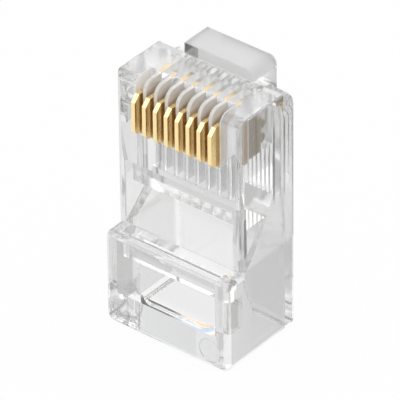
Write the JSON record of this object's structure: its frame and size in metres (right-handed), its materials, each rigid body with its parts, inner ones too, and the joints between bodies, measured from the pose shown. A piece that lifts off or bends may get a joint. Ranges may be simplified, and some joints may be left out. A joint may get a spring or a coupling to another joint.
{
  "type": "rj45 modular plug",
  "caption": "Clear modular plug for network cable: contacts in a slotted nose, clamp bars in two windows, a sprung locking latch and an oval cable entry.",
  "frame": {"origin": "middle of the cable-end face of the housing, on its rim's plane", "axes": "+Z from the cable end to the nose, +Y towards the latch side, +X across the contacts"},
  "size_m": [0.0116, 0.0124, 0.0225],
  "materials": {
    "clear_plastic": "clear, glossy",
    "gold_contact": "gold plated, bright"
  },
  "bodies": {
    "plug_body": {"housing": "clear_plastic", "contact_1": "gold_contact", "contact_2": "gold_contact", "contact_3": "gold_contact", "contact_4": "gold_contact", "contact_5": "gold_contact", "contact_6": "gold_contact", "contact_7": "gold_contact", "contact_8": "gold_contact"},
    "latch_arm": {"latch": "clear_plastic"}
  },
  "joints": [
    {"name": "latch_flex", "type": "hinge", "parent": "plug_body", "child": "latch_arm", "pos_m": [0, 0.00468, 0.0192], "axis": [1, 0, 0], "range_deg": [-11, 0], "stiffness_Nm_per_rad": 0.15}
  ]
}
